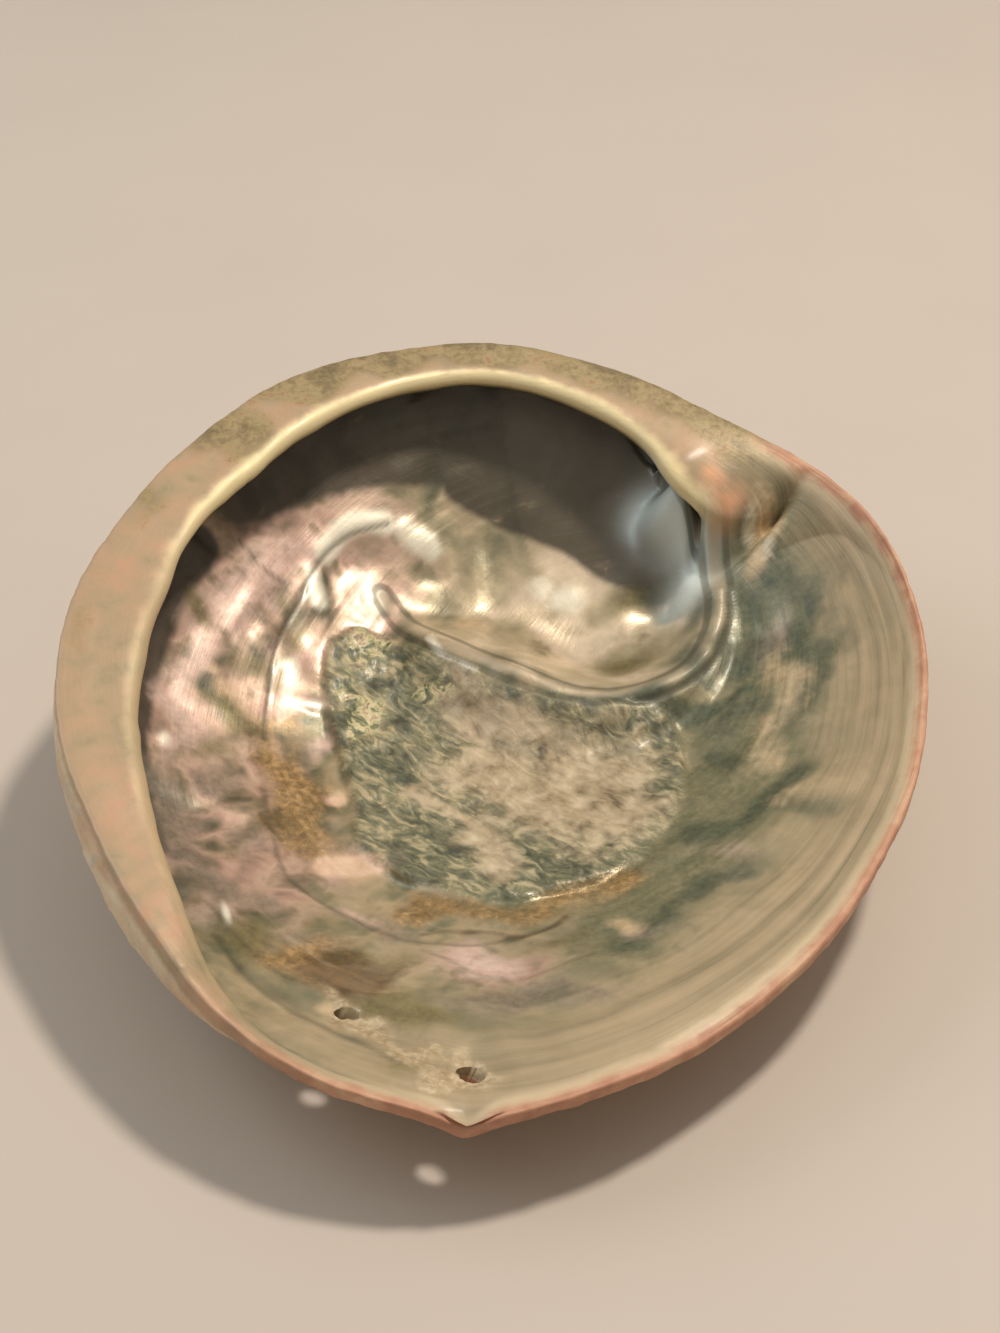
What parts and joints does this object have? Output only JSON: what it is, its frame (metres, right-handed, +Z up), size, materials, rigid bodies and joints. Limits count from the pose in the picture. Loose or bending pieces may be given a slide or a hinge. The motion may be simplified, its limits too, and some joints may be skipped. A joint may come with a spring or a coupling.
{
  "type": "abalone shell",
  "caption": "Whole ear-shaped abalone shell lying on its back, pearly bowl up, with a flat inner shelf, a muscle scar and a row of breathing holes.",
  "frame": {"origin": "middle of the bounding box at the surface that the shell rests on", "axes": "+Z up out of the bowl, Y along the length with +Y at the spire end, +X on the outer lip's side"},
  "size_m": [0.1734, 0.2022, 0.0581],
  "materials": {
    "shell": "pearly nacre inside, rough chalky brick and cream outside"
  },
  "bodies": {
    "root": {"shell": "shell"}
  },
  "joints": []
}
